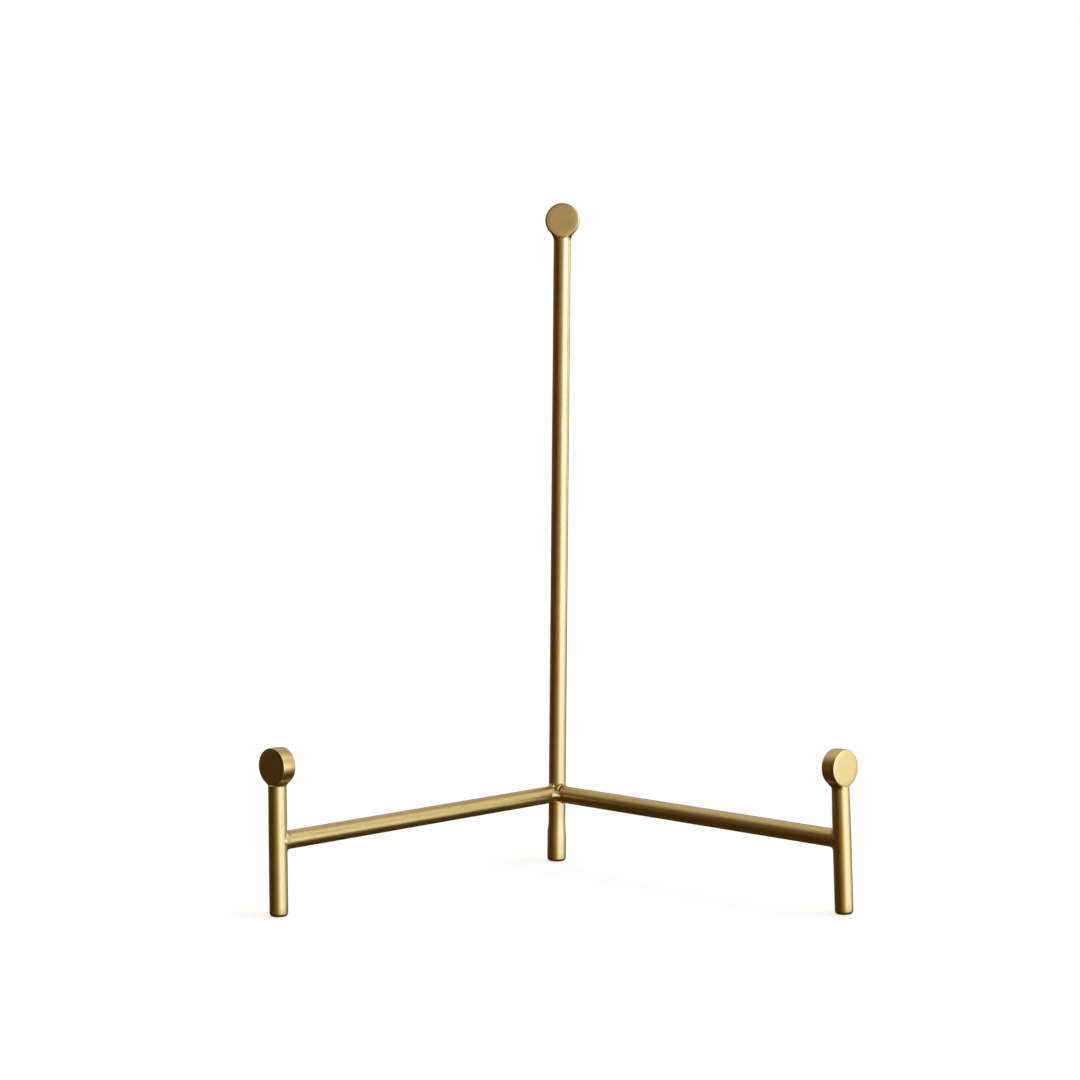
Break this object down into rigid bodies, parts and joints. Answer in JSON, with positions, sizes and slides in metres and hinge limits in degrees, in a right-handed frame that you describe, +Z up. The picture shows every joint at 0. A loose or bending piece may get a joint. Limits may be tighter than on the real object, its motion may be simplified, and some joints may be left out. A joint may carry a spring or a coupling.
{
  "type": "display easel",
  "caption": "Tabletop display easel of welded round brass bar: a tall upright, two arms spread forward, and short front posts ending in small discs.",
  "frame": {"origin": "on the table, under the middle of the footprint's bounding box", "axes": "+X to the right as seen from the front, -Y to the front, where the two short posts are, +Z up along the upright"},
  "size_m": [0.2015, 0.1152, 0.245],
  "materials": {
    "brass_bar": "satin antique brass, faint lengthwise brushing",
    "brass_disc": "satin antique brass, faintly mottled face",
    "brass_weld": "satin antique brass over hand-dressed weld"
  },
  "bodies": {
    "root": {"upright_rod": "brass_bar", "upright_disc": "brass_disc", "upright_disc_weld": "brass_weld", "left_arm": "brass_bar", "left_post": "brass_bar", "left_disc": "brass_disc", "left_disc_weld": "brass_weld", "right_arm": "brass_bar", "right_post": "brass_bar", "right_disc": "brass_disc", "right_disc_weld": "brass_weld", "left_arm_weld": "brass_weld", "right_arm_weld": "brass_weld", "left_apex_weld": "brass_weld", "right_apex_weld": "brass_weld", "arm_seam_weld": "brass_weld"}
  },
  "joints": []
}
